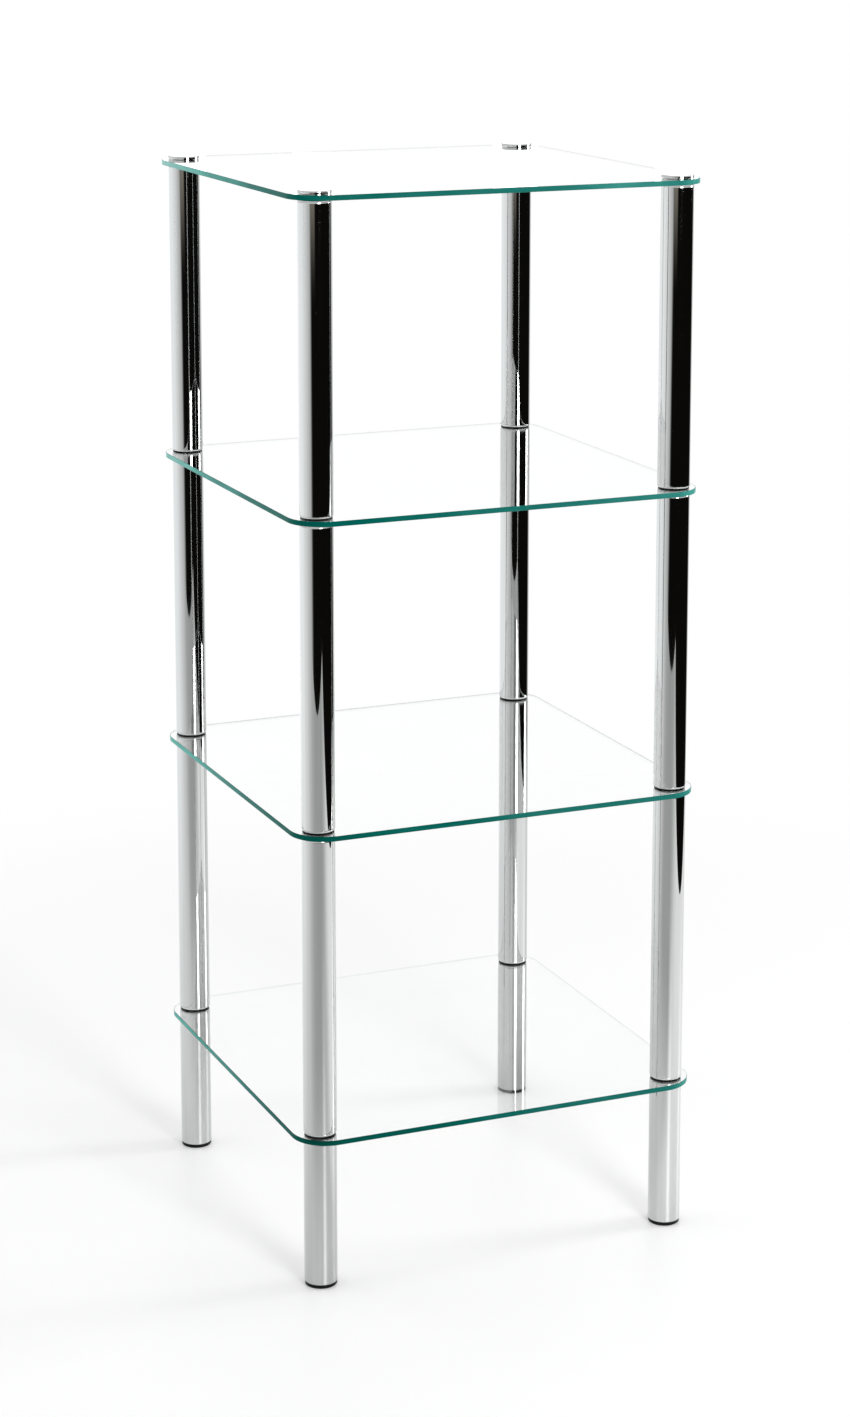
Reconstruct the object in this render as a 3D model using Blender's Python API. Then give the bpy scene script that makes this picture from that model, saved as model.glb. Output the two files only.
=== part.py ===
# Glass shelving unit: four square safety glass panes carried on four columns of chromed tube.
# Every tube ends in a threaded plug. A stud through a grommet in the glass joins the tube below
# a pane to the tube above it, a cap with its own stud closes each column at the top, and a
# screw-in foot stands under each column.
# Origin: floor level, at the middle of the unit. +X runs right along the front edge, +Y to the back.

import math

import bmesh
import bpy

# Glass panes, in metres
PANE_WIDTH = 0.420
PANE_DEPTH = 0.420
PANE_THICKNESS = 0.005
PANE_CORNER_RADIUS = 0.035
PANE_ARRIS = 0.0004
SHELF_COUNT = 4

# Columns of tube
COLUMN_INSET = 0.025
UPRIGHT_LENGTH = 0.2926
LEG_LENGTH = 0.143
TUBE_DIAMETER = 0.032
TUBE_WALL = 0.0015
TUBE_END_FILLET = 0.0025
PLUG_LENGTH = 0.012

# Studs and grommets at each glass hole
STUD_DIAMETER = 0.008
STUD_ENGAGEMENT = 0.010
STUD_CHAMFER = 0.0008
GROMMET_FLANGE_THICKNESS = 0.0007
GROMMET_FLANGE_SETBACK = 0.0008
GROMMET_NECK_WALL = 0.0015

# Top caps, recessed below so that their rims close over the grommets
CAP_HEIGHT = 0.003
CAP_EDGE_FILLET = 0.001
CAP_RIM_WIDTH = 0.006

# Screw-in feet
FOOT_HEIGHT = 0.003
FOOT_SETBACK = 0.0005
FOOT_EDGE = 0.0006
FOOT_FLOOR = 0.0012
FOOT_SCREW_DIAMETER = 0.008
FOOT_SCREW_LENGTH = 0.030

# Fits
SEAT_GAP = 0.0003
THREAD_CLEARANCE = 0.0003
HOLE_CLEARANCE = 0.0003

# Facets of the round pieces
TUBE_SEGMENTS = 20
GROMMET_SEGMENTS = 12
STUD_SEGMENTS = 10
CORNER_SEGMENTS = 6
SHARP_ANGLE = math.radians(35)
MERGE_DISTANCE = 1e-6

# Sizes that follow from the ones above
TUBE_RADIUS = TUBE_DIAMETER / 2
STUD_RADIUS = STUD_DIAMETER / 2
FOOT_SCREW_RADIUS = FOOT_SCREW_DIAMETER / 2
WASHER_STACK = SEAT_GAP + GROMMET_FLANGE_THICKNESS + SEAT_GAP
GROMMET_BORE_RADIUS = STUD_RADIUS + THREAD_CLEARANCE
GROMMET_NECK_RADIUS = GROMMET_BORE_RADIUS + GROMMET_NECK_WALL
GROMMET_FLANGE_RADIUS = TUBE_RADIUS - GROMMET_FLANGE_SETBACK
GLASS_HOLE_RADIUS = GROMMET_NECK_RADIUS + HOLE_CLEARANCE
CAP_RECESS_RADIUS = TUBE_RADIUS - CAP_RIM_WIDTH
COVERED_FLANGE_RADIUS = CAP_RECESS_RADIUS - HOLE_CLEARANCE
FOOT_RADIUS = TUBE_RADIUS - FOOT_SETBACK
LEG_BOTTOM = FOOT_HEIGHT + SEAT_GAP
FIRST_PANE = LEG_BOTTOM + LEG_LENGTH + WASHER_STACK + PANE_THICKNESS / 2
SHELF_PITCH = UPRIGHT_LENGTH + 2 * WASHER_STACK + PANE_THICKNESS
PANE_LEVELS = [FIRST_PANE + shelf * SHELF_PITCH for shelf in range(SHELF_COUNT)]
COLUMN_X = PANE_WIDTH / 2 - COLUMN_INSET
COLUMN_Y = PANE_DEPTH / 2 - COLUMN_INSET
COLUMNS = {
    "front_left": (-COLUMN_X, -COLUMN_Y),
    "front_right": (COLUMN_X, -COLUMN_Y),
    "back_left": (-COLUMN_X, COLUMN_Y),
    "back_right": (COLUMN_X, COLUMN_Y),
}


def clear_scene():
    for item in list(bpy.data.objects):
        bpy.data.objects.remove(item, do_unlink=True)


def make_material(name, colour, roughness, metallic, transmission=0.0):
    material = bpy.data.materials.new(name)
    material.use_nodes = True
    shader = material.node_tree.nodes["Principled BSDF"]
    shader.inputs["Base Color"].default_value = (*colour, 1.0)
    shader.inputs["Roughness"].default_value = roughness
    shader.inputs["Metallic"].default_value = metallic
    shader.inputs["Transmission Weight"].default_value = transmission
    return material


def add_object(name, mesh, location, parent):
    piece = bpy.data.objects.new(name, mesh)
    bpy.context.collection.objects.link(piece)
    piece.location = location
    piece.parent = parent
    return piece


def finish_mesh(name, shape, material):
    bmesh.ops.recalc_face_normals(shape, faces=shape.faces)
    mesh = bpy.data.meshes.new(name)
    shape.to_mesh(mesh)
    shape.free()
    mesh.shade_smooth()
    mesh.set_sharp_from_angle(angle=SHARP_ANGLE)
    mesh.materials.append(material)
    return mesh


def turned_mesh(name, profile, segments, material, ring=False):
    """Spin a profile of (radius, height) points about Z. A ring's profile closes on itself."""
    shape = bmesh.new()
    points = [shape.verts.new((radius, 0.0, height)) for radius, height in profile]
    edges = [shape.edges.new(pair) for pair in zip(points, points[1:])]
    if ring:
        edges.append(shape.edges.new((points[-1], points[0])))
    bmesh.ops.spin(
        shape,
        geom=points + edges,
        cent=(0.0, 0.0, 0.0),
        axis=(0.0, 0.0, 1.0),
        angle=math.tau,
        steps=segments,
        use_merge=True,
    )
    bmesh.ops.remove_doubles(shape, verts=shape.verts, dist=MERGE_DISTANCE)
    return finish_mesh(name, shape, material)


def rounded_rectangle(width, depth, radius, segments):
    """Corner points of a rectangle with round corners, anticlockwise from above."""
    points = []
    centres = [(1, -1), (1, 1), (-1, 1), (-1, -1)]
    for corner, (side_x, side_y) in enumerate(centres):
        start = math.radians(90 * corner - 90)
        for step in range(segments + 1):
            angle = start + math.radians(90) * step / segments
            x = side_x * (width / 2 - radius) + radius * math.cos(angle)
            y = side_y * (depth / 2 - radius) + radius * math.sin(angle)
            points.append((x, y))
    return points


def pane_mesh(material):
    """A slab with round corners, centred on its own middle plane."""
    shape = bmesh.new()
    outline = rounded_rectangle(PANE_WIDTH, PANE_DEPTH, PANE_CORNER_RADIUS, CORNER_SEGMENTS)
    face = shape.faces.new([shape.verts.new((x, y, -PANE_THICKNESS / 2)) for x, y in outline])
    raised = bmesh.ops.extrude_face_region(shape, geom=[face])["geom"]
    top = [item for item in raised if isinstance(item, bmesh.types.BMVert)]
    bmesh.ops.translate(shape, verts=top, vec=(0.0, 0.0, PANE_THICKNESS))
    return finish_mesh("glass_pane", shape, material)


def tube_mesh(name, length, bottom_thread, material):
    """A thin-walled tube with rounded ends and a threaded plug fixed in each end."""
    wall = TUBE_RADIUS - TUBE_WALL
    rim = TUBE_RADIUS - TUBE_END_FILLET
    bottom_bore = bottom_thread + THREAD_CLEARANCE
    top_bore = STUD_RADIUS + THREAD_CLEARANCE
    profile = [
        (bottom_bore, 0.0),
        (rim, 0.0),
        (TUBE_RADIUS, TUBE_END_FILLET),
        (TUBE_RADIUS, length - TUBE_END_FILLET),
        (rim, length),
        (top_bore, length),
        (top_bore, length - PLUG_LENGTH),
        (wall, length - PLUG_LENGTH),
        (wall, PLUG_LENGTH),
        (bottom_bore, PLUG_LENGTH),
    ]
    return turned_mesh(name, profile, TUBE_SEGMENTS, material, ring=True)


def rod_mesh(name, radius, length, material):
    """A threaded rod with chamfered ends, standing on its own origin."""
    tip = radius - STUD_CHAMFER
    profile = [
        (0.0, 0.0),
        (tip, 0.0),
        (radius, STUD_CHAMFER),
        (radius, length - STUD_CHAMFER),
        (tip, length),
        (0.0, length),
    ]
    return turned_mesh(name, profile, STUD_SEGMENTS, material)


def grommet_mesh(name, upper_radius, material):
    """A spool of black rubber: a neck in the glass hole and a flange on each face of the pane."""
    inner = PANE_THICKNESS / 2 + SEAT_GAP
    outer = inner + GROMMET_FLANGE_THICKNESS
    profile = [
        (GROMMET_BORE_RADIUS, -outer),
        (GROMMET_FLANGE_RADIUS, -outer),
        (GROMMET_FLANGE_RADIUS, -inner),
        (GROMMET_NECK_RADIUS, -inner),
        (GROMMET_NECK_RADIUS, inner),
        (upper_radius, inner),
        (upper_radius, outer),
        (GROMMET_BORE_RADIUS, outer),
    ]
    return turned_mesh(name, profile, GROMMET_SEGMENTS, material, ring=True)


def cap_mesh(material):
    """A flat round cap with its stud hanging below. Its own origin is the ceiling of its recess."""
    stud_end = -(2 * WASHER_STACK + PANE_THICKNESS + STUD_ENGAGEMENT)
    rim = SEAT_GAP - WASHER_STACK
    top = rim + CAP_HEIGHT
    profile = [
        (0.0, top),
        (TUBE_RADIUS - CAP_EDGE_FILLET, top),
        (TUBE_RADIUS, top - CAP_EDGE_FILLET),
        (TUBE_RADIUS, rim),
        (CAP_RECESS_RADIUS, rim),
        (CAP_RECESS_RADIUS, 0.0),
        (STUD_RADIUS, 0.0),
        (STUD_RADIUS, stud_end + STUD_CHAMFER),
        (STUD_RADIUS - STUD_CHAMFER, stud_end),
        (0.0, stud_end),
    ]
    return turned_mesh("top_cap", profile, TUBE_SEGMENTS, material)


def foot_pad_mesh(material):
    """A flat black disc with a pocket that holds the lower end of its screw."""
    pocket = FOOT_SCREW_RADIUS + THREAD_CLEARANCE
    profile = [
        (0.0, FOOT_FLOOR),
        (pocket, FOOT_FLOOR),
        (pocket, FOOT_HEIGHT),
        (FOOT_RADIUS, FOOT_HEIGHT),
        (FOOT_RADIUS, FOOT_EDGE),
        (FOOT_RADIUS - FOOT_EDGE, 0.0),
        (0.0, 0.0),
    ]
    return turned_mesh("foot_pad", profile, TUBE_SEGMENTS, material)


def hole_cutter(parent):
    """Four columns that cut the grommet holes through every pane."""
    shape = bmesh.new()
    below = PANE_LEVELS[0] - PANE_THICKNESS
    above = PANE_LEVELS[-1] + PANE_THICKNESS
    for x, y in COLUMNS.values():
        made = bmesh.ops.create_cone(
            shape,
            cap_ends=True,
            segments=GROMMET_SEGMENTS,
            radius1=GLASS_HOLE_RADIUS,
            radius2=GLASS_HOLE_RADIUS,
            depth=above - below,
        )
        bmesh.ops.translate(shape, verts=made["verts"], vec=(x, y, (above + below) / 2))
    mesh = bpy.data.meshes.new("hole_cutter")
    shape.to_mesh(mesh)
    shape.free()
    cutter = add_object("hole_cutter", mesh, (0.0, 0.0, 0.0), parent)
    cutter.hide_render = True
    cutter.display_type = "WIRE"
    return cutter


def add_panes(unit, material):
    mesh = pane_mesh(material)
    cutter = hole_cutter(unit)
    for number, level in enumerate(PANE_LEVELS, start=1):
        pane = add_object(f"glass_shelf_{number}", mesh, (0.0, 0.0, level), unit)
        arris = pane.modifiers.new("arris", "BEVEL")
        arris.width = PANE_ARRIS
        arris.segments = 1
        arris.limit_method = "ANGLE"
        arris.angle_limit = SHARP_ANGLE
        holes = pane.modifiers.new("grommet_holes", "BOOLEAN")
        holes.operation = "DIFFERENCE"
        holes.solver = "EXACT"
        holes.object = cutter


def add_columns(unit, chrome, rubber, steel):
    leg = tube_mesh("leg_tube", LEG_LENGTH, FOOT_SCREW_RADIUS, chrome)
    upright = tube_mesh("upright_tube", UPRIGHT_LENGTH, STUD_RADIUS, chrome)
    grommet = grommet_mesh("grommet", GROMMET_FLANGE_RADIUS, rubber)
    covered_grommet = grommet_mesh("covered_grommet", COVERED_FLANGE_RADIUS, rubber)
    stud_length = PANE_THICKNESS + 2 * (WASHER_STACK + STUD_ENGAGEMENT)
    stud = rod_mesh("joining_stud", STUD_RADIUS, stud_length, steel)
    cap = cap_mesh(chrome)
    seat = PANE_THICKNESS / 2 + WASHER_STACK
    for place, (x, y) in COLUMNS.items():
        add_object(f"leg_tube_{place}", leg, (x, y, LEG_BOTTOM), unit)
        for number, level in enumerate(PANE_LEVELS, start=1):
            if number == SHELF_COUNT:
                add_object(f"grommet_{number}_{place}", covered_grommet, (x, y, level), unit)
                add_object(f"top_cap_{place}", cap, (x, y, level + seat), unit)
            else:
                add_object(f"grommet_{number}_{place}", grommet, (x, y, level), unit)
                add_object(f"joining_stud_{number}_{place}", stud, (x, y, level - stud_length / 2), unit)
                add_object(f"upright_tube_{number}_{place}", upright, (x, y, level + seat), unit)


def add_feet(unit, plastic, steel):
    screw = rod_mesh("foot_screw", FOOT_SCREW_RADIUS, FOOT_SCREW_LENGTH, steel)
    pad = foot_pad_mesh(plastic)
    screw_bottom = FOOT_FLOOR + SEAT_GAP
    for place, (x, y) in COLUMNS.items():
        shank = add_object(f"foot_screw_{place}", screw, (x, y, screw_bottom), unit)
        add_object(f"foot_pad_{place}", pad, (0.0, 0.0, -screw_bottom), shank)


def main():
    clear_scene()
    unit = bpy.data.objects.new("shelving_unit", None)
    bpy.context.collection.objects.link(unit)
    glass = make_material("clear_glass", (0.86, 0.95, 0.93), 0.02, 0.0, transmission=0.9)
    chrome = make_material("chrome", (0.80, 0.80, 0.80), 0.06, 1.0)
    rubber = make_material("black_rubber", (0.015, 0.015, 0.015), 0.55, 0.0)
    plastic = make_material("black_plastic", (0.02, 0.02, 0.02), 0.40, 0.0)
    steel = make_material("zinc_steel", (0.55, 0.56, 0.58), 0.30, 1.0)
    add_panes(unit, glass)
    add_columns(unit, chrome, rubber, steel)
    add_feet(unit, plastic, steel)


main()
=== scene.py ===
import math

import bmesh
import bpy
from mathutils import Matrix, Vector


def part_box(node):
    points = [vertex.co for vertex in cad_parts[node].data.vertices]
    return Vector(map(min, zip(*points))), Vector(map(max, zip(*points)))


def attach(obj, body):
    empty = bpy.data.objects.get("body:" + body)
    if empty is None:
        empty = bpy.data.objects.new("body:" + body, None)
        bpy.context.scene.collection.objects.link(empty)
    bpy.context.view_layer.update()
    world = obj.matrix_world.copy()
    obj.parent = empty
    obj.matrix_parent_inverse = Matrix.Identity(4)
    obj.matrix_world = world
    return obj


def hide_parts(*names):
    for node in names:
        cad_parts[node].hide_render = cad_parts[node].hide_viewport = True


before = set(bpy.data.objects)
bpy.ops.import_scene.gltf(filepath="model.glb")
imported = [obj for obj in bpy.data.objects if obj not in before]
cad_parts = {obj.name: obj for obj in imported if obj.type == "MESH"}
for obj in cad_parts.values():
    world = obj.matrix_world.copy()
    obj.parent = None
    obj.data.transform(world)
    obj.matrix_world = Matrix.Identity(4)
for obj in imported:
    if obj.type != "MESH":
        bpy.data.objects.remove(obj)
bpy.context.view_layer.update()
print("frame loaded,", len(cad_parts), "nodes")

scene = bpy.context.scene
scene.view_settings.view_transform = "Standard"
scene.cycles.max_bounces = 24  # a ray can be mirrored and pass all four panes
scene.cycles.transmission_bounces = 16
scene.cycles.transparent_max_bounces = 40
scene.cycles.glossy_bounces = 6
columns = ("front_left", "front_right", "back_left", "back_right")
bays = (1, 2, 3)
shelves = (1, 2, 3, 4)
tiny = 0.00002  # how close a point has to be to count as being at a place
level = 0.99  # how much of a face's normal has to point up or down for it to count as level


# camera, a little above the top pane and off the front left corner

cameraLook = {
    "place": (-1.215, -2.881, 1.349),
    "pitchDown": 10.02,
    "turnRight": 22.90,
    "lens": 80.98,
    "shiftUp": -0.20,
}


def addCamera(look):
    bpy.ops.object.select_all(action="DESELECT")
    pitch = math.radians(90 - look["pitchDown"])
    turn = math.radians(-look["turnRight"])
    bpy.ops.object.camera_add(location=look["place"], rotation=(pitch, 0, turn))
    camera = bpy.context.object
    camera.name = "shelfCamera"
    camera.data.lens = look["lens"]
    camera.data.shift_y = look["shiftUp"]
    scene.camera = camera


addCamera(cameraLook)
print("camera placed")


# shader helpers

white = (1.0, 1.0, 1.0)
black = (0.0, 0.0, 0.0)
noiseMiddle = (0.3, 0.7)  # most of a noise lies between these


def addNode(tree, kind, settings=None, values=None):
    node = tree.nodes.new(kind)
    for name, value in (settings or {}).items():
        setattr(node, name, value)
    for name, value in (values or {}).items():
        node.inputs[name].default_value = value
    return node


def newFinish(name):
    finish = bpy.data.materials.new(name)
    finish.use_nodes = True
    tree = finish.node_tree
    return finish, tree, tree.nodes["Principled BSDF"]


def setSurface(tree, surface, output="Material Output"):
    tree.links.new(surface, tree.nodes[output].inputs["Surface"])


def addNoise(tree, scale, stretch=(1, 1, 1), detail=3.0):
    spot = addNode(tree, "ShaderNodeTexCoord")
    mapping = addNode(tree, "ShaderNodeMapping", values={"Scale": stretch})
    noise = addNode(tree, "ShaderNodeTexNoise", values={"Scale": scale, "Detail": detail})
    tree.links.new(spot.outputs["Object"], mapping.inputs["Vector"])
    tree.links.new(mapping.outputs["Vector"], noise.inputs["Vector"])
    return noise.outputs["Fac"]


def fade(tree, source, start, end, low=0.0, high=1.0, kind="LINEAR"):
    span = addNode(tree, "ShaderNodeMapRange", {"interpolation_type": kind}, {
        "From Min": start, "From Max": end, "To Min": low, "To Max": high})
    tree.links.new(source, span.inputs["Value"])
    return span.outputs["Result"]


def softFade(tree, source, start, end, most=1.0):
    return fade(tree, source, start, end, 0.0, most, "SMOOTHSTEP")


def spread(tree, noise, low, high):
    return fade(tree, noise, *noiseMiddle, low, high)


def tintRamp(tree, source, stops):
    ramp = addNode(tree, "ShaderNodeValToRGB")
    marks = ramp.color_ramp.elements
    while len(marks) < len(stops):
        marks.new(0.5)
    for mark, (place, tint) in zip(marks, stops):
        mark.position = place
        mark.color = (*tint, 1.0)
    tree.links.new(source, ramp.inputs["Fac"])
    return ramp.outputs["Color"]


def twoTints(tree, noise, look):
    deep, pale = noiseMiddle
    return tintRamp(tree, noise, [(deep, look["deepTint"]), (pale, look["paleTint"])])


def addBump(tree, shader, height, strength, depth):
    bump = addNode(tree, "ShaderNodeBump", values={"Strength": strength, "Distance": depth})
    tree.links.new(height, bump.inputs["Height"])
    tree.links.new(bump.outputs["Normal"], shader.inputs["Normal"])


def addUp(tree, first, second):  # never more than 1
    total = addNode(tree, "ShaderNodeMath", {"operation": "ADD", "use_clamp": True})
    tree.links.new(first, total.inputs[0])
    tree.links.new(second, total.inputs[1])
    return total.outputs["Value"]


def times(tree, first, second):
    product = addNode(tree, "ShaderNodeMath", {"operation": "MULTIPLY"})
    tree.links.new(first, product.inputs[0])
    tree.links.new(second, product.inputs[1])
    return product.outputs["Value"]


def splitUp(tree, spot):
    parts = addNode(tree, "ShaderNodeSeparateXYZ")
    tree.links.new(spot, parts.inputs["Vector"])
    return parts.outputs


def alongWay(tree, spot, way):
    along = addNode(tree, "ShaderNodeVectorMath", {"operation": "DOT_PRODUCT"})
    along.inputs[1].default_value = way
    tree.links.new(spot, along.inputs[0])
    return along.outputs["Value"]


def seenDirectly(tree):  # 1 for camera, mirror and glass rays, 0 for soft bounce light
    path = addNode(tree, "ShaderNodeLightPath").outputs
    seen = addUp(tree, path["Is Camera Ray"], path["Is Glossy Ray"])
    return addUp(tree, seen, path["Is Transmission Ray"])


def addClear(tree):
    return addNode(tree, "ShaderNodeBsdfTransparent").outputs["BSDF"]


def addGlow(tree, tint, strength=None):
    glow = addNode(tree, "ShaderNodeEmission", values={"Color": (*tint, 1.0)})
    if strength:
        tree.links.new(strength, glow.inputs["Strength"])
    return glow.outputs["Emission"]


def mixShaders(tree, share, first, second):
    mix = addNode(tree, "ShaderNodeMixShader")
    tree.links.new(share, mix.inputs["Fac"])
    tree.links.new(first, mix.inputs[1])
    tree.links.new(second, mix.inputs[2])
    return mix.outputs["Shader"]


def addShaders(tree, first, second):
    both = addNode(tree, "ShaderNodeAddShader")
    tree.links.new(first, both.inputs[0])
    tree.links.new(second, both.inputs[1])
    return both.outputs["Shader"]


# chrome plate on drawn tube: fine lengthwise drawing lines and a faint haze

chromeLook = {
    "deepTint": (0.488, 0.499, 0.495),
    "paleTint": (0.527, 0.538, 0.534),
    "lineScale": 420,
    "lineStretch": (1.0, 1.0, 0.008),
    "lineStrength": 0.015,
    "lineDepth": 0.00001,
    "hazeScale": 60,
    "hazeStretch": (1.0, 1.0, 0.4),
    "rough": (0.012, 0.035),
}


def makeChrome(look):
    finish, tree, shader = newFinish("chromePlate")
    lines = addNoise(tree, look["lineScale"], look["lineStretch"])
    haze = addNoise(tree, look["hazeScale"], look["hazeStretch"])
    tree.links.new(twoTints(tree, lines, look), shader.inputs["Base Color"])
    tree.links.new(spread(tree, haze, *look["rough"]), shader.inputs["Roughness"])
    shader.inputs["Metallic"].default_value = 1.0
    addBump(tree, shader, lines, look["lineStrength"], look["lineDepth"])
    return finish


# rubber of the grommets and moulded plastic of the feet

rubberLook = {
    "deepTint": (0.006, 0.006, 0.006),
    "paleTint": (0.014, 0.014, 0.014),
    "patchScale": 130,
    "grainScale": 900,
    "grainStrength": 0.4,
    "grainDepth": 0.00008,
    "rough": (0.5, 0.7),
    "gloss": 0.15,
}
plasticLook = {
    "deepTint": (0.003, 0.003, 0.003),
    "paleTint": (0.008, 0.008, 0.008),
    "patchScale": 130,
    "grainScale": 1500,
    "grainStrength": 0.4,
    "grainDepth": 0.00005,
    "rough": (0.3, 0.45),
    "gloss": 0.1,
}


def makeBlack(name, look):
    finish, tree, shader = newFinish(name)
    patches = addNoise(tree, look["patchScale"])
    grain = addNoise(tree, look["grainScale"])
    tree.links.new(twoTints(tree, patches, look), shader.inputs["Base Color"])
    tree.links.new(spread(tree, grain, *look["rough"]), shader.inputs["Roughness"])
    shader.inputs["Specular IOR Level"].default_value = look["gloss"]
    addBump(tree, shader, grain, look["grainStrength"], look["grainDepth"])
    return finish


# zinc plated studs and screws, with the thread as fine rings

zincLook = {
    "deepTint": (0.42, 0.43, 0.44),
    "paleTint": (0.62, 0.63, 0.66),
    "cloudScale": 300,
    "rough": (0.25, 0.45),
    "threadPitch": 0.00125,
    "threadStrength": 0.8,
    "threadDepth": 0.0005,
}
waveRate = 20  # radians a metre in a wave texture of scale 1


def makeZinc(look):
    finish, tree, shader = newFinish("zincSteel")
    cloud = addNoise(tree, look["cloudScale"])
    spot = addNode(tree, "ShaderNodeTexCoord")
    rings = addNode(tree, "ShaderNodeTexWave", {"wave_type": "BANDS", "bands_direction": "Z"},
                    {"Scale": math.tau / waveRate / look["threadPitch"]})
    tree.links.new(spot.outputs["Object"], rings.inputs["Vector"])
    tree.links.new(twoTints(tree, cloud, look), shader.inputs["Base Color"])
    tree.links.new(spread(tree, cloud, *look["rough"]), shader.inputs["Roughness"])
    shader.inputs["Metallic"].default_value = 1.0
    addBump(tree, shader, rings.outputs["Fac"], look["threadStrength"], look["threadDepth"])
    return finish


# clear glass: the broad faces bend and mirror light, with faint smears from wiping

glassLook = {
    "index": 1.5,
    "smearScale": 9,
    "smearDetail": 5.0,
    "smearTints": [(0.35, (0.98, 0.984, 0.983)), (0.7, (0.962, 0.968, 0.967))],
    "rough": (0.0, 0.015),
}


def makeGlassFace(look):
    finish, tree, shader = newFinish("clearGlass")
    smears = addNoise(tree, look["smearScale"], detail=look["smearDetail"])
    tree.links.new(tintRamp(tree, smears, look["smearTints"]), shader.inputs["Base Color"])
    tree.links.new(spread(tree, smears, *look["rough"]), shader.inputs["Roughness"])
    shader.inputs["IOR"].default_value = look["index"]
    shader.inputs["Transmission Weight"].default_value = 1.0
    path = addNode(tree, "ShaderNodeLightPath").outputs
    soft = addUp(tree, path["Is Shadow Ray"], path["Is Diffuse Ray"])  # these go straight through
    setSurface(tree, mixShaders(tree, soft, shader.outputs["BSDF"], addClear(tree)))
    return finish


# the polished edges show the glass's body colour, deepest at the front left corner, with painted light
# making them paler towards the back and the right, on left facing edges and at the corners; a far edge,
# met from inside, is a pale grey line of painted shade

edgeLook = {
    # tones run from the deep body colour to paler teals that only the painted light reaches
    "tones": [(0.0, (0.0, 0.043, 0.032)), (0.18, (0.0, 0.1, 0.079)), (0.42, (0.02, 0.175, 0.15)),
              (0.7, (0.09, 0.41, 0.355)), (1.0, (0.5, 0.74, 0.7))],
    "polishScale": 14,
    "polishStretch": (1.0, 1.0, 4.0),
    "polishDetail": 4.0,
    "streaks": 0.14,
    "rough": (0.05, 0.12),
    "gloss": 0.02,
    # painted light: paler towards the back and the right, on left facing edges and at the corners
    "paintedLightWay": (1.0, 1.0, 0.2),
    "paintedLightReach": (-0.35, 0.15),
    "paintedLightMost": 0.4,
    "leftLitFacing": (-0.8, -1.0),
    "leftLitReach": (-0.17, 0.17),
    "leftLitTone": (0.1, 0.36),
    "cornerGlintFacing": (-0.1, -0.5),
    "cornerGlintMost": 0.1,
    # painted shade of a far edge seen from inside, by height: palest on the bottom pane, darkest on the
    # top one
    "paintedFarShades": [(0.15, (0.84, 0.87, 0.86)), (0.45, (0.67, 0.71, 0.7)), (0.75, (0.7, 0.74, 0.73)),
                 (1.0, (0.45, 0.5, 0.49))],
}


def makeGlassEdge(look):
    finish, tree, shader = newFinish("polishedGlassEdge")
    spot = addNode(tree, "ShaderNodeTexCoord").outputs
    place = splitUp(tree, spot["Object"])
    facing = splitUp(tree, spot["Normal"])
    polish = addNoise(tree, look["polishScale"], look["polishStretch"], look["polishDetail"])
    tone = spread(tree, polish, 0.0, look["streaks"])
    # painted light is laid over the random polish streaks
    along = alongWay(tree, spot["Object"], look["paintedLightWay"])
    paintedLightToBack = fade(tree, along, *look["paintedLightReach"], 0.0, look["paintedLightMost"])
    onLeft = fade(tree, facing["X"], *look["leftLitFacing"])
    paintedLightOnLeft = times(tree, onLeft, fade(tree, place["Y"], *look["leftLitReach"], *look["leftLitTone"]))
    turning = times(tree, facing["X"], facing["Y"])  # below 0 at the front right and back left corners
    paintedCornerGlint = fade(tree, turning, *look["cornerGlintFacing"], 0.0, look["cornerGlintMost"])
    for paintedLight in (paintedLightToBack, paintedLightOnLeft, paintedCornerGlint):
        tone = addUp(tree, tone, paintedLight)
    tree.links.new(tintRamp(tree, tone, look["tones"]), shader.inputs["Base Color"])
    tree.links.new(spread(tree, polish, *look["rough"]), shader.inputs["Roughness"])
    shader.inputs["Specular IOR Level"].default_value = look["gloss"]
    # a far edge met from inside: a grey line of painted shade
    paintedFarEdge = addNode(tree, "ShaderNodeBsdfTransparent")
    tree.links.new(tintRamp(tree, place["Z"], look["paintedFarShades"]), paintedFarEdge.inputs["Color"])
    inside = addNode(tree, "ShaderNodeNewGeometry").outputs["Backfacing"]
    setSurface(tree, mixShaders(tree, inside, shader.outputs["BSDF"], paintedFarEdge.outputs["BSDF"]))
    return finish


chromePlate = makeChrome(chromeLook)
blackRubber = makeBlack("blackRubber", rubberLook)
blackPlastic = makeBlack("blackPlastic", plasticLook)
zincSteel = makeZinc(zincLook)
clearGlass = makeGlassFace(glassLook)
glassEdge = makeGlassEdge(edgeLook)
print("finishes made")


# modelling helpers

def startPiece(name):  # the new primitive keeps its place in its mesh, and opens for editing
    piece = bpy.context.object
    piece.name = name
    piece.data.name = name
    bpy.ops.object.transform_apply(location=True, rotation=True, scale=True)
    bpy.ops.object.mode_set(mode="EDIT")
    return piece


def startRod(name, sides, radius, spot, bottom, top):
    bpy.ops.object.select_all(action="DESELECT")
    bpy.ops.mesh.primitive_cylinder_add(
        vertices=sides, radius=radius, depth=top - bottom, location=(spot.x, spot.y, (bottom + top) / 2))
    return startPiece(name)


def pickFaces(test):
    bpy.ops.mesh.select_mode(type="FACE")
    bpy.ops.mesh.select_all(action="DESELECT")
    sheet = bmesh.from_edit_mesh(bpy.context.object.data)
    for face in sheet.faces:
        if test(face.calc_center_median(), face.normal):
            face.select_set(True)
    bmesh.update_edit_mesh(bpy.context.object.data)


def pickEdges(test):
    bpy.ops.mesh.select_mode(type="EDGE")
    bpy.ops.mesh.select_all(action="DESELECT")
    sheet = bmesh.from_edit_mesh(bpy.context.object.data)
    for edge in sheet.edges:
        if test(edge.verts[0].co, edge.verts[1].co):
            edge.select_set(True)
    bmesh.update_edit_mesh(bpy.context.object.data)


def bothAt(height):
    return lambda one, two: abs(one.z - height) < tiny and abs(two.z - height) < tiny


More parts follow.
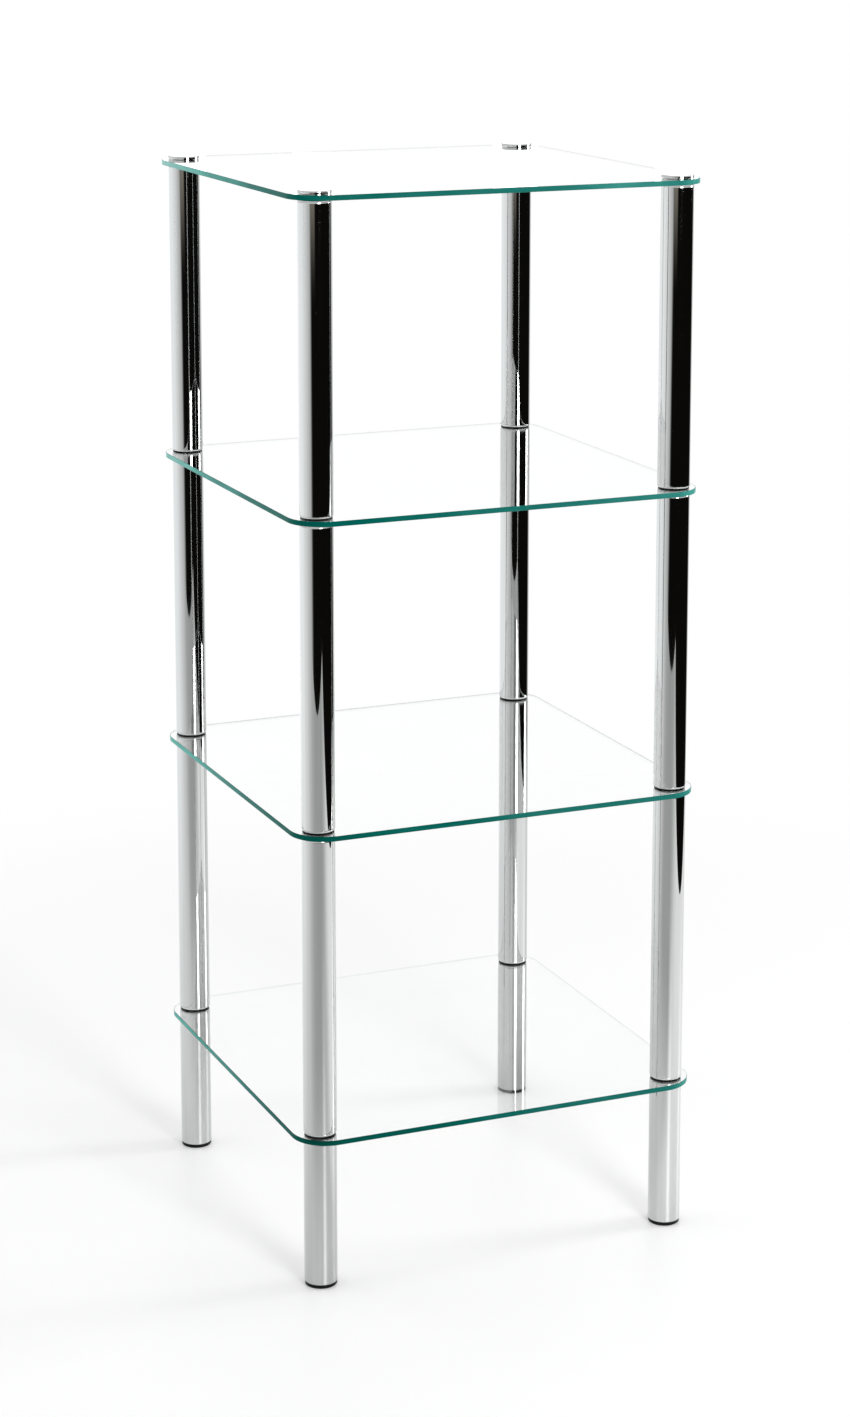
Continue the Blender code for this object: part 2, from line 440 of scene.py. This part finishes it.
def bothOutside(middle, radius):
    return lambda one, two: min((one - middle).xy.length, (two - middle).xy.length) > radius - tiny


def bothInside(middle, radius):
    return lambda one, two: max((one - middle).xy.length, (two - middle).xy.length) < radius + tiny


def pickRims(middle, radius):  # the level edges round the outside
    outside = bothOutside(middle, radius)
    pickEdges(lambda one, two: abs(one.z - two.z) < tiny and outside(one, two))


def pickEndFace(height):
    pickFaces(lambda spot, normal: abs(spot.z - height) < tiny and abs(normal.z) > level)


def extrudeUp(rise):
    bpy.ops.mesh.extrude_region_move(TRANSFORM_OT_translate={"value": (0, 0, rise)})


def widen(centre, ratio):
    bpy.ops.transform.resize(value=(ratio, ratio, 1), center_override=centre)


def roundOff(offset, segments):
    bpy.ops.mesh.bevel(offset=offset, segments=segments, affect="EDGES")


def supportLoop(height):  # keeps the shading of a long straight wall flat beside a rounded rim
    bpy.ops.mesh.select_all(action="SELECT")
    bpy.ops.mesh.bisect(plane_co=(0, 0, height), plane_no=(0, 0, 1))


def endPiece(piece, finishes, smoothAngle=32):
    bpy.ops.mesh.select_all(action="SELECT")
    bpy.ops.mesh.remove_doubles(threshold=tiny / 4)
    bpy.ops.mesh.normals_make_consistent(inside=False)
    bpy.ops.object.mode_set(mode="OBJECT")
    bpy.ops.object.shade_smooth_by_angle(angle=math.radians(smoothAngle))
    piece.data.materials.clear()
    for finish in finishes:
        piece.data.materials.append(finish)


def middleOf(node):
    low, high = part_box(node)
    return (low + high) / 2


def roundBox(node):
    low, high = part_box(node)
    return low, high, middleOf(node), (high.x - low.x) / 2


def copyPiece(piece, shift):
    twin = piece.copy()
    twin.data = piece.data.copy()
    twin.data.transform(Matrix.Translation(shift))
    scene.collection.objects.link(twin)
    return twin


def settle(piece, body, node):
    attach(piece, body)
    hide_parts(node)


def placeCopies(piece, firstNode, places):  # the first place keeps the original
    for node, name, body, slotName in places:
        shift = middleOf(node) - middleOf(firstNode)
        twin = piece if node == firstNode else copyPiece(piece, shift)
        twin.name = name
        twin.data.name = name
        settle(twin, body, node)


# hollow chromed tubes with a threaded plug in each end

tubeShape = {
    "sides": 72,
    "wall": 0.0015,
    "bore": 0.0043,
    "plug": 0.012,
    "rimRound": 0.0025,
    "footRound": 0.001,
    "rimSteps": 6,
    "support": 0.0004,
    "seat": 0.00095,  # drawn up tight against the rubber
}


def modelTube(name, node, shape, onFoot=False):
    low, high, middle, radius = roundBox(node)
    bottom = low.z if onFoot else low.z - shape["seat"]
    top = high.z + shape["seat"]
    tube = startRod(name, shape["sides"], radius, middle, bottom, top)
    for end, inward in ((bottom, 1), (top, -1)):
        pickEndFace(end)
        bpy.ops.mesh.inset(thickness=radius - shape["bore"])
        extrudeUp(inward * shape["plug"])  # threaded bore through the plug
        extrudeUp(0)
        widen(middle, (radius - shape["wall"]) / shape["bore"])  # inner side of the plug
        bpy.ops.mesh.delete(type="ONLY_FACE")
    plugEnds = (bottom + shape["plug"], top - shape["plug"])
    onWall = bothOutside(middle, radius - shape["wall"])
    pickEdges(lambda one, two: onWall(one, two) and any(bothAt(end)(one, two) for end in plugEnds))
    bpy.ops.mesh.bridge_edge_loops()  # inside of the tube wall
    onRim = bothOutside(middle, radius)
    lowRound = shape["footRound"] if onFoot else shape["rimRound"]
    for end, inward, rimRound in ((bottom, 1, lowRound), (top, -1, shape["rimRound"])):
        pickEdges(lambda one, two: onRim(one, two) and bothAt(end)(one, two))
        roundOff(rimRound, shape["rimSteps"])
        supportLoop(end + inward * (rimRound + shape["support"]))
        pickEndFace(end)
        bpy.ops.mesh.inset(thickness=shape["support"])
    endPiece(tube, [chromePlate])
    return tube


legNode = "leg_tube_front_left"
legTube = modelTube("chrome_leg", legNode, tubeShape, onFoot=True)
placeCopies(legTube, legNode, [
    (f"leg_tube_{column}", f"chrome_leg_{column}", "frame", "chrome") for column in columns])
uprightNode = "upright_tube_1_front_left"
uprightTube = modelTube("chrome_upright", uprightNode, tubeShape)
placeCopies(uprightTube, uprightNode, [
    (f"upright_tube_{bay}_{column}", f"chrome_upright_{bay}_{column}", "frame", "chrome")
    for bay in bays for column in columns])
print("tubes modelled")


# black rubber grommets, a flange on each face of the pane and a neck through its hole

grommetShape = {
    "sides": 48,
    "bore": 0.0043,
    "neck": 0.0058,
    "flange": 0.00025,
    "squeeze": 0.0007,  # pressed flat on the glass
    "covered": 0.0097,
    "round": 0.0001,
    "roundSteps": 3,
}


def modelGrommet(name, node, shape, underCap=False):
    low, high, middle, radius = roundBox(node)
    bottom = low.z + shape["flange"] + shape["squeeze"]
    top = high.z - shape["flange"] - shape["squeeze"]
    grommet = startRod(name, shape["sides"], shape["neck"], middle, bottom, top)
    upperRadius = shape["covered"] if underCap else radius
    for end, outward, flangeRadius in ((bottom, -1, radius), (top, 1, upperRadius)):
        pickEndFace(end)
        extrudeUp(0)
        widen(middle, flangeRadius / shape["neck"])
        extrudeUp(outward * shape["flange"])
        bpy.ops.mesh.inset(thickness=flangeRadius - shape["bore"])
        bpy.ops.mesh.delete(type="ONLY_FACE")
    pickEdges(bothInside(middle, shape["bore"]))
    bpy.ops.mesh.bridge_edge_loops()  # bore for the stud
    pickRims(middle, radius)
    roundOff(shape["round"], shape["roundSteps"])
    endPiece(grommet, [blackRubber])
    return grommet


def grommetPlaces(levels):
    return [(f"grommet_{shelf}_{column}", f"rubber_grommet_{shelf}_{column}", "frame", "black_rubber")
            for shelf in levels for column in columns]


openNode, coveredNode = "grommet_1_front_left", "grommet_4_front_left"
openGrommet = modelGrommet("rubber_grommet", openNode, grommetShape)
placeCopies(openGrommet, openNode, grommetPlaces(shelves[:-1]))
coveredGrommet = modelGrommet("covered_grommet", coveredNode, grommetShape, underCap=True)
placeCopies(coveredGrommet, coveredNode, grommetPlaces(shelves[-1:]))
print("grommets modelled")


# flat chromed caps, each with its own stud

capShape = {
    "sides": 72,
    "height": 0.003,
    "edgeRound": 0.001,
    "edgeSteps": 4,
    "support": 0.0003,
    "recess": 0.01,
    "recessDepth": 0.001,
    "stud": 0.004,
    "tip": 0.0008,
}


def modelCap(name, node, shape):
    low, high, middle, radius = roundBox(node)
    underside = high.z - shape["height"]
    cap = startRod(name, shape["sides"], radius, middle, underside, high.z)
    pickEndFace(underside)
    bpy.ops.mesh.inset(thickness=radius - shape["recess"])
    extrudeUp(shape["recessDepth"])  # room for the grommet
    bpy.ops.mesh.inset(thickness=shape["recess"] - shape["stud"])
    extrudeUp(low.z - underside - shape["recessDepth"])
    pickEdges(bothAt(low.z))
    roundOff(shape["tip"], 1)
    pickEdges(bothAt(high.z))
    roundOff(shape["edgeRound"], shape["edgeSteps"])
    supportLoop(high.z - shape["edgeRound"] - shape["support"])
    pickEndFace(high.z)
    bpy.ops.mesh.inset(thickness=shape["support"])
    endPiece(cap, [chromePlate])
    return cap


capNode = "top_cap_front_left"
topCap = modelCap("chrome_cap", capNode, capShape)
placeCopies(topCap, capNode, [
    (f"top_cap_{column}", f"chrome_cap_{column}", "frame", "chrome") for column in columns])
print("caps modelled")


# moulded feet, hollow on top where the screw is set in

footShape = {
    "sides": 64,
    "edgeRound": 0.0006,
    "edgeSteps": 3,
    "pocket": 0.0043,
    "floor": 0.0012,
}


def modelFoot(name, node, shape):
    low, high, middle, radius = roundBox(node)
    foot = startRod(name, shape["sides"], radius, middle, low.z, high.z)
    pickEndFace(high.z)
    bpy.ops.mesh.inset(thickness=radius - shape["pocket"])
    extrudeUp(low.z + shape["floor"] - high.z)
    pickRims(middle, radius)
    roundOff(shape["edgeRound"], shape["edgeSteps"])
    endPiece(foot, [blackPlastic])
    return foot


footNode = "foot_pad_front_left"
footPad = modelFoot("black_foot", footNode, footShape)
placeCopies(footPad, footNode, [
    (f"foot_pad_{column}", f"black_foot_{column}", f"foot_pad_{column}", "black_plastic")
    for column in columns])
print("feet modelled")


# panes with round corners, a fine arris along the polished edge and four drilled holes

paneShape = {
    "cornerRound": 0.035,
    "cornerSteps": 16,
    "arris": 0.0004,
    "arrisSteps": 2,
    "hole": 0.0061,
    "holeSides": 32,
    "drillLength": 0.02,
    "smoothAngle": 15,
    "faceLevel": 0.98,  # what is less level than this is edge
}


def drillPane(pane, holes, height, shape):
    bpy.ops.object.select_all(action="DESELECT")
    drills = []
    for hole in holes:
        bpy.ops.mesh.primitive_cylinder_add(
            vertices=shape["holeSides"], radius=shape["hole"], depth=shape["drillLength"],
            location=(*hole, height))
        drills.append(bpy.context.object)
    for drill in drills:
        drill.select_set(True)
    bpy.ops.object.join()
    drill = bpy.context.object
    bpy.ops.object.select_all(action="DESELECT")
    bpy.context.view_layer.objects.active = pane
    pane.select_set(True)
    cut = pane.modifiers.new("stud holes", "BOOLEAN")
    cut.operation = "DIFFERENCE"
    cut.solver = "EXACT"
    cut.object = drill
    bpy.ops.object.modifier_apply(modifier=cut.name)
    bpy.data.objects.remove(drill, do_unlink=True)


def modelPane(name, node, shape):
    low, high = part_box(node)
    middle = middleOf(node)
    holes = [middleOf(f"leg_tube_{column}").xy for column in columns]
    bpy.ops.object.select_all(action="DESELECT")
    bpy.ops.mesh.primitive_plane_add(size=high.x - low.x, location=(middle.x, middle.y, low.z))
    pane = startPiece(name)
    bpy.ops.mesh.select_all(action="SELECT")
    bpy.ops.mesh.bevel(offset=shape["cornerRound"], segments=shape["cornerSteps"], affect="VERTICES")
    bpy.ops.mesh.select_all(action="SELECT")
    extrudeUp(high.z - low.z)
    pickEdges(lambda one, two: bothAt(low.z)(one, two) or bothAt(high.z)(one, two))
    roundOff(shape["arris"], shape["arrisSteps"])
    bpy.ops.mesh.select_all(action="SELECT")
    bpy.ops.mesh.normals_make_consistent(inside=False)
    bpy.ops.object.mode_set(mode="OBJECT")
    drillPane(pane, holes, middle.z, shape)
    bpy.ops.object.mode_set(mode="EDIT")
    endPiece(pane, [clearGlass, glassEdge], shape["smoothAngle"])
    for face in pane.data.polygons:
        offHoles = min((face.center.xy - hole).length for hole in holes) > 2 * shape["hole"]
        face.material_index = 1 if offHoles and abs(face.normal.z) < shape["faceLevel"] else 0
    return pane


paneNode = "glass_shelf_1"
glassPane = modelPane("glass_pane", paneNode, paneShape)
placeCopies(glassPane, paneNode, [
    (f"glass_shelf_{shelf}", f"glass_pane_{shelf}", "frame", "clear_glass") for shelf in shelves])
print("panes modelled")

for column in columns:
    fasteners = [f"foot_screw_{column}"] + [f"joining_stud_{bay}_{column}" for bay in bays]
    for node in fasteners:
        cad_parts[node].material_slots[0].material = zincSteel
print("studs and screws plated")


# studio: white floor and backdrop, soft lamps, and painted reflections that only mirrored rays meet:
# dark and warm cards, in front and to the right, and painted glows and shade on the floor

studio = {
    "sides": 96,
    "floorRadius": 16,
    "floorDrop": 0.0003,
    "floorTint": (0.82, 0.82, 0.82),
    "floorRough": 0.4,
    "floorLift": 0.1,
    "shadowReach": (0.6, 1.5),
    "fill": 0.55,
    # painted light: glows on the floor, to the back left and to the right, which only mirrored rays meet
    "leftPaintedGlow": {"bearing": -130, "reach": (0.15, 0.9), "away": (-0.6, 2.0), "most": 0.45,
                 "tint": (0.93, 0.975, 1.0)},
    "rightPaintedGlow": {"bearing": 80, "reach": (0.45, 0.9), "away": (0.1, 0.4), "most": 0.32,
                  "tint": (1.0, 0.995, 0.985)},
    # dim: painted shade on the floor towards the camera, which only mirrored rays meet
    "dim": {"bearing": 3, "reach": (0.5, 1.0), "away": (0.2, 0.9), "most": 0.42, "tint": black},
    # dark and warm: painted reflections, dark cards in front and to the right and a warm card far off a
    # little left of the camera, which only mirrored rays meet
    "dark": {"bearing": 53, "reach": (0.02, 0.29), "away": (0.0, 0.1), "most": 1.0,
             "tint": (0.006, 0.0055, 0.005)},
    "warm": {"bearing": -13, "reach": (0.955, 0.99), "away": (7.0, 11.5), "most": 1.0,
             "tint": (0.34, 0.31, 0.26)},
    "sheetHeight": 0.002,
    "sheetFront": 2.1,
    "sheetRight": 1.39,
    "flag": {"away": 3.0, "low": 0.85, "high": 2.0, "left": 0, "right": 115, "mirrors": 2},
}
lamps = {
    "leftSoftbox": {"bearings": (-95,), "away": 2.3, "height": 1.1, "aim": 0.6, "size": (2.6, 2.2),
                    "power": 18, "mirrored": False},
    "frontStrip": {"bearings": (28,), "away": 2.8, "height": 1.4, "aim": 1.4, "size": (0.8, 1.2),
                   "power": 40, "mirrored": True},
    "rightStrip": {"bearings": (106,), "away": 2.8, "height": 1.4, "aim": 1.4, "size": (0.8, 1.2),
                   "power": 30, "mirrored": True},
    "overhead": {"bearings": (180,), "away": 0.3, "height": 3.0, "aim": 0.6, "size": (2.4, 2.4),
                 "power": 20, "mirrored": False},
    "capStrip": {"bearings": (185.8, 182.7, 173.9), "away": 9.0, "height": 1.947, "aim": 1.05,
                 "size": (0.16, 0.2), "power": 0.13, "mirrored": True},
    "columnStrip": {"bearings": (177.8,), "away": 9.0, "height": 1.95, "aim": 1.05,
                    "size": (0.17, 0.42), "power": 0.29, "mirrored": True},
}


def bearing(degrees, away, height=0.0):  # 0 is towards the camera, 90 to the right of the picture
    angle = math.radians(degrees - cameraLook["turnRight"])
    return Vector((math.sin(angle) * away, -math.cos(angle) * away, height))


def makeWorld(look):
    world = bpy.data.worlds.new("studioWorld")
    world.use_nodes = True
    scene.world = world
    tree = world.node_tree
    fill = tree.nodes["Background"]
    fill.inputs["Color"].default_value = (*white, 1.0)
    fill.inputs["Strength"].default_value = look["fill"]
    backdrop = addNode(tree, "ShaderNodeBackground", values={"Color": (*white, 1.0), "Strength": 1.0})
    lights = (fill.outputs["Background"], backdrop.outputs["Background"])
    setSurface(tree, mixShaders(tree, seenDirectly(tree), *lights), "World Output")


def farOff(tree, spot):
    away = addNode(tree, "ShaderNodeVectorMath", {"operation": "LENGTH"})
    tree.links.new(spot, away.inputs[0])
    return away.outputs["Value"]


def mirroredRay(tree, mirrors):
    path = addNode(tree, "ShaderNodeLightPath")
    mirrored = addNode(tree, "ShaderNodeMath", {"operation": "GREATER_THAN"})
    mirrored.inputs[1].default_value = mirrors - 0.5  # between two counts
    tree.links.new(path.outputs["Glossy Depth"], mirrored.inputs[0])
    return mirrored.outputs["Value"]


def towards(tree, spot, look):  # how far a spot lies one way, for rays that something has mirrored
    way = addNode(tree, "ShaderNodeVectorMath", {"operation": "NORMALIZE"})
    tree.links.new(spot, way.inputs[0])
    side = alongWay(tree, way.outputs["Vector"], bearing(look["bearing"], 1))
    turned = softFade(tree, side, *look["reach"], look["most"])
    distant = softFade(tree, farOff(tree, spot), *look["away"])
    return times(tree, times(tree, turned, distant), mirroredRay(tree, look.get("mirrors", 1)))


def addDisc(name, look, height):
    bpy.ops.object.select_all(action="DESELECT")
    bpy.ops.mesh.primitive_circle_add(
        vertices=look["sides"], radius=look["floorRadius"], fill_type="NGON", location=(0, 0, height))
    return startPiece(name)


def makeFloor(look):
    floor = addDisc("studio_floor", look, -look["floorDrop"])
    bpy.ops.object.mode_set(mode="OBJECT")
    finish, tree, shader = newFinish("whiteFloor")
    shader.inputs["Base Color"].default_value = (*look["floorTint"], 1.0)
    shader.inputs["Roughness"].default_value = look["floorRough"]
    spot = addNode(tree, "ShaderNodeTexCoord").outputs["Object"]
    seen = seenDirectly(tree)
    lift = addGlow(tree, white, softFade(tree, seen, 0, 1, look["floorLift"]))
    lifted = addShaders(tree, shader.outputs["BSDF"], lift)
    beyond = softFade(tree, farOff(tree, spot), *look["shadowReach"])  # plain white past the shadow
    surface = mixShaders(tree, times(tree, beyond, seen), lifted, addGlow(tree, white))
    # painted shade: the floor goes dark towards the camera for mirrored rays
    paintedMirrorShade = addGlow(tree, look["dim"]["tint"])
    surface = mixShaders(tree, towards(tree, spot, look["dim"]), surface, paintedMirrorShade)
    # painted light: the floor glows for mirrored rays
    for glow in (look["leftPaintedGlow"], look["rightPaintedGlow"]):
        surface = addShaders(tree, surface, addGlow(tree, glow["tint"], towards(tree, spot, glow)))
    setSurface(tree, surface)
    floor.data.materials.append(finish)


def mirrorFinish(name, look):  # a painted reflection: a card with soft sides that only mirrored rays meet
    finish, tree, shader = newFinish(name)
    tree.nodes.remove(shader)
    spot = addNode(tree, "ShaderNodeTexCoord").outputs["Object"]
    card = addGlow(tree, look["tint"])
    setSurface(tree, mixShaders(tree, towards(tree, spot, look), addClear(tree), card))
    return finish


def mirrorOnly(thing, finish):  # casts no shadow and never shows by itself
    bpy.ops.object.mode_set(mode="OBJECT")
    thing.data.materials.append(finish)
    thing.visible_camera = False
    thing.visible_diffuse = False
    thing.visible_shadow = False


def cutAway(point, outward):
    bpy.ops.mesh.select_all(action="SELECT")
    bpy.ops.mesh.bisect(plane_co=point, plane_no=outward, clear_outer=True)


def makePaintedReflections(look):
    # painted reflections: dark sheets on the floor in front and to the right, a warm sheet over them
    paintedDarkReflection = mirrorFinish("paintedDarkReflection", look["dark"])
    paintedWarmReflection = mirrorFinish("paintedWarmReflection", look["warm"])
    corner = middleOf("leg_tube_front_left")
    cuts = {
        "painted_dark_reflection_front": (corner + bearing(0, look["sheetFront"]), bearing(180, 1)),
        "painted_dark_reflection_right": (corner + bearing(90, look["sheetRight"]), bearing(-90, 1)),
    }
    for name, (point, outward) in cuts.items():
        ground = addDisc(name, look, look["sheetHeight"])
        cutAway(point, outward)
        mirrorOnly(ground, paintedDarkReflection)
    mirrorOnly(addDisc("painted_warm_reflection", look, 2 * look["sheetHeight"]), paintedWarmReflection)  # over the dark ones


def makePaintedFlag(look):  # a painted dark reflection that shows in tubes by way of a pane, and not in the panes themselves
    flag = look["flag"]
    paintedFlagReflection = mirrorFinish("paintedFlagReflection", {**look["dark"], "mirrors": flag["mirrors"]})
    bpy.ops.object.select_all(action="DESELECT")
    bpy.ops.mesh.primitive_cylinder_add(
        vertices=look["sides"], radius=flag["away"], depth=flag["high"] - flag["low"],
        end_fill_type="NOTHING", location=(0, 0, (flag["high"] + flag["low"]) / 2))
    paintedDarkFlag = startPiece("painted_dark_flag")
    cutAway((0, 0, 0), bearing(flag["left"] - 90, 1))
    cutAway((0, 0, 0), bearing(flag["right"] + 90, 1))
    mirrorOnly(paintedDarkFlag, paintedFlagReflection)


def addLamp(name, look, degrees):
    bpy.ops.object.select_all(action="DESELECT")
    place = bearing(degrees, look["away"], look["height"])
    bpy.ops.object.light_add(type="AREA", location=place)
    lamp = bpy.context.object
    lamp.name = name
    lamp.data.shape = "RECTANGLE"
    lamp.data.size, lamp.data.size_y = look["size"]
    lamp.data.energy = look["power"]
    lamp.rotation_euler = (Vector((0, 0, look["aim"])) - place).to_track_quat("-Z", "Y").to_euler()
    lamp.visible_camera = False
    lamp.visible_transmission = False
    lamp.visible_glossy = look["mirrored"]


makeWorld(studio)
makeFloor(studio)
makePaintedReflections(studio)
makePaintedFlag(studio)
for lampName, lampLook in lamps.items():
    for degrees in lampLook["bearings"]:
        addLamp(lampName, lampLook, degrees)
print("studio lit")
